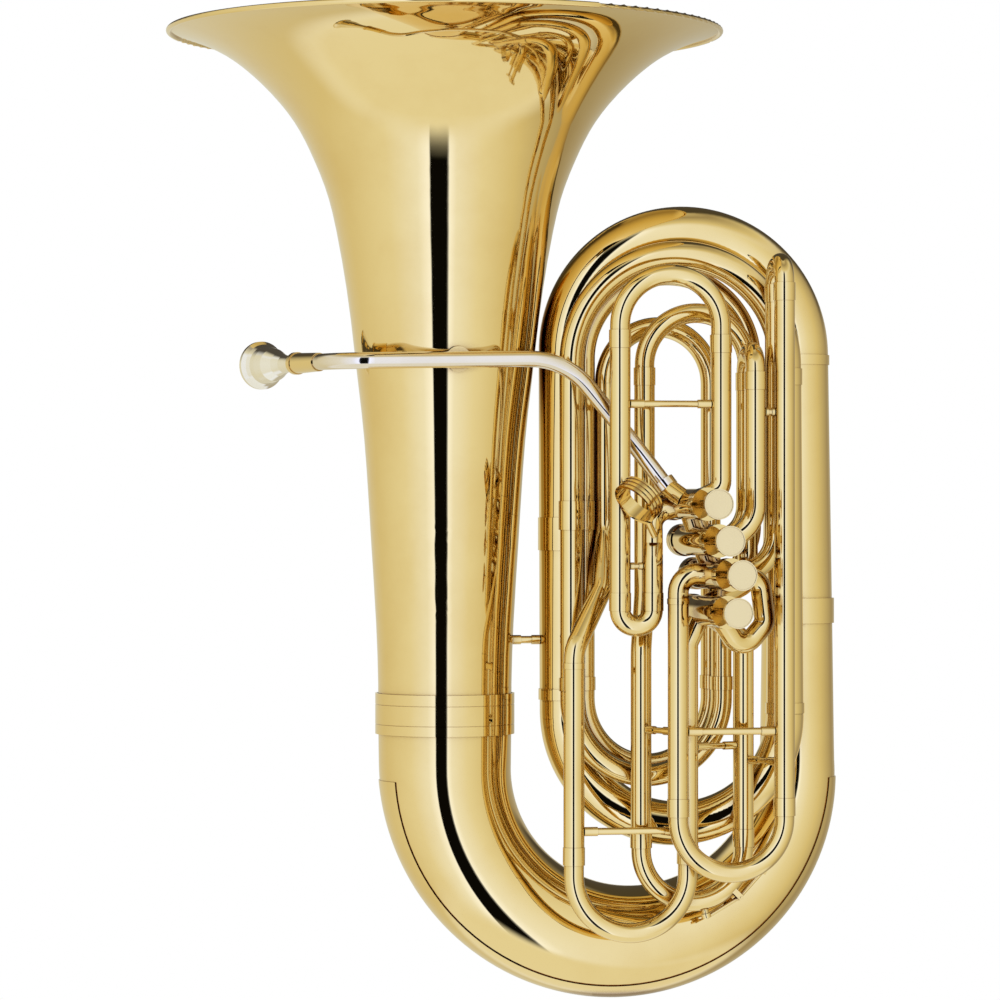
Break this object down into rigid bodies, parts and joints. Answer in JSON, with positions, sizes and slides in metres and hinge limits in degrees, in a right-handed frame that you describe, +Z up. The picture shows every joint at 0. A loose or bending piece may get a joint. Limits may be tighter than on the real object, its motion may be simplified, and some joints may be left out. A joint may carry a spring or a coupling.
{
  "type": "tuba",
  "caption": "Upright front-action piston tuba with a wide flared bell, nested conical bows, pull slides, a sprung water key and a cup mouthpiece.",
  "frame": {"origin": "lowest point of the big bottom bow's guard, where the instrument rests in the lap or on a stand", "axes": "+Z up along the bell, -Y towards the audience and the finger buttons' side, -X towards the bell side"},
  "size_m": [0.6195, 0.5082, 0.8864],
  "materials": {
    "lacquered_brass": "mirror-polished yellow brass under clear lacquer",
    "nickel_silver": "polished nickel silver",
    "silver_plate": "bright silver plate",
    "piston_metal": "fine-ground nickel alloy",
    "spring_wire": "drawn spring wire"
  },
  "bodies": {
    "horn": {"bell": "lacquered_brass", "bell_ferrule": "lacquered_brass", "bell_rim_wire": "lacquered_brass", "bottom_bow": "lacquered_brass", "bow_guard": "lacquered_brass", "braces": "lacquered_brass", "bugle_ferrules": "lacquered_brass", "first_branch": "lacquered_brass", "first_slide_tubes": "lacquered_brass", "fourth_slide_tubes": "lacquered_brass", "fourth_top_bow": "lacquered_brass", "inner_bottom_bows": "lacquered_brass", "inner_branches": "lacquered_brass", "leadpipe": "nickel_silver", "leadpipe_collar": "nickel_silver", "leadpipe_elbow": "lacquered_brass", "main_slide_tubes": "lacquered_brass", "mouthpipe_receiver": "lacquered_brass", "outer_branch": "lacquered_brass", "second_bottom_bow": "lacquered_brass", "second_branch": "lacquered_brass", "second_slide_tubes": "lacquered_brass", "second_top_bow": "lacquered_brass", "third_slide_tubes": "lacquered_brass", "third_top_bow": "lacquered_brass", "thumb_ring": "lacquered_brass", "top_bow": "lacquered_brass", "valve_bottom_caps": "lacquered_brass", "valve_casing_1": "lacquered_brass", "valve_casing_2": "lacquered_brass", "valve_casing_3": "lacquered_brass", "valve_casing_4": "lacquered_brass", "valve_knuckles": "lacquered_brass", "valve_spring_1": "spring_wire", "valve_spring_2": "spring_wire", "valve_spring_3": "spring_wire", "valve_spring_4": "spring_wire", "valve_top_caps": "lacquered_brass"},
    "valve_1": {"piston_1": "piston_metal", "valve_stem_1": "lacquered_brass", "finger_button_1": "lacquered_brass"},
    "valve_2": {"piston_2": "piston_metal", "valve_stem_2": "lacquered_brass", "finger_button_2": "lacquered_brass"},
    "valve_3": {"piston_3": "piston_metal", "valve_stem_3": "lacquered_brass", "finger_button_3": "lacquered_brass"},
    "valve_4": {"piston_4": "piston_metal", "valve_stem_4": "lacquered_brass", "finger_button_4": "lacquered_brass"},
    "first_slide": {"first_slide_crook": "lacquered_brass"},
    "second_slide": {"second_slide_crook": "lacquered_brass"},
    "third_slide_upper": {"third_slide_upper_crook": "lacquered_brass"},
    "third_slide": {"third_slide_crook": "lacquered_brass"},
    "fourth_slide_upper": {"fourth_slide_upper_crook": "lacquered_brass"},
    "fourth_slide": {"fourth_slide_crook": "lacquered_brass", "water_key_saddle": "lacquered_brass"},
    "water_key": {"water_key_lever": "lacquered_brass"},
    "main_slide": {"main_tuning_slide": "lacquered_brass"},
    "mouthpiece": {"mouthpiece": "silver_plate"}
  },
  "joints": [
    {"name": "valve_1_press", "type": "slide", "parent": "horn", "child": "valve_1", "axis": [-0.122, 0.9925, 0], "range_m": [0, 0.019], "stiffness_N_per_m": 60, "springref_m": -0.03, "deforming": ["valve_spring_1"]},
    {"name": "valve_2_press", "type": "slide", "parent": "horn", "child": "valve_2", "axis": [-0.122, 0.9925, 0], "range_m": [0, 0.019], "stiffness_N_per_m": 60, "springref_m": -0.03, "deforming": ["valve_spring_2"]},
    {"name": "valve_3_press", "type": "slide", "parent": "horn", "child": "valve_3", "axis": [-0.122, 0.9925, 0], "range_m": [0, 0.019], "stiffness_N_per_m": 60, "springref_m": -0.03, "deforming": ["valve_spring_3"]},
    {"name": "valve_4_press", "type": "slide", "parent": "horn", "child": "valve_4", "axis": [-0.122, 0.9925, 0], "range_m": [0, 0.019], "stiffness_N_per_m": 60, "springref_m": -0.03, "deforming": ["valve_spring_4"]},
    {"name": "first_slide_pull", "type": "slide", "parent": "horn", "child": "first_slide", "axis": [0, 0, 1], "range_m": [0, 0.06]},
    {"name": "second_slide_pull", "type": "slide", "parent": "horn", "child": "second_slide", "axis": [0, 0, 1], "range_m": [0, 0.04]},
    {"name": "third_slide_upper_pull", "type": "slide", "parent": "horn", "child": "third_slide_upper", "axis": [0, 0, 1], "range_m": [0, 0.04]},
    {"name": "third_slide_pull", "type": "slide", "parent": "horn", "child": "third_slide", "axis": [0, 0, -1], "range_m": [0, 0.08]},
    {"name": "fourth_slide_upper_pull", "type": "slide", "parent": "horn", "child": "fourth_slide_upper", "axis": [0, 0, 1], "range_m": [0, 0.012]},
    {"name": "fourth_slide_pull", "type": "slide", "parent": "horn", "child": "fourth_slide", "axis": [0, 0, -1], "range_m": [0, 0.06]},
    {"name": "main_slide_pull", "type": "slide", "parent": "horn", "child": "main_slide", "axis": [0, 0, -1], "range_m": [0, 0.09]},
    {"name": "mouthpiece_out", "type": "slide", "parent": "horn", "child": "mouthpiece", "axis": [-0.36, 0.933, 0], "range_m": [0, 0.04]},
    {"name": "water_key_open", "type": "hinge", "parent": "fourth_slide", "child": "water_key", "pos_m": [0.09864, -0.072, 0.09716], "axis": [0, -1, 0], "range_deg": [0, 10], "stiffness_Nm_per_rad": 0.06, "springref_deg": -20.05}
  ]
}
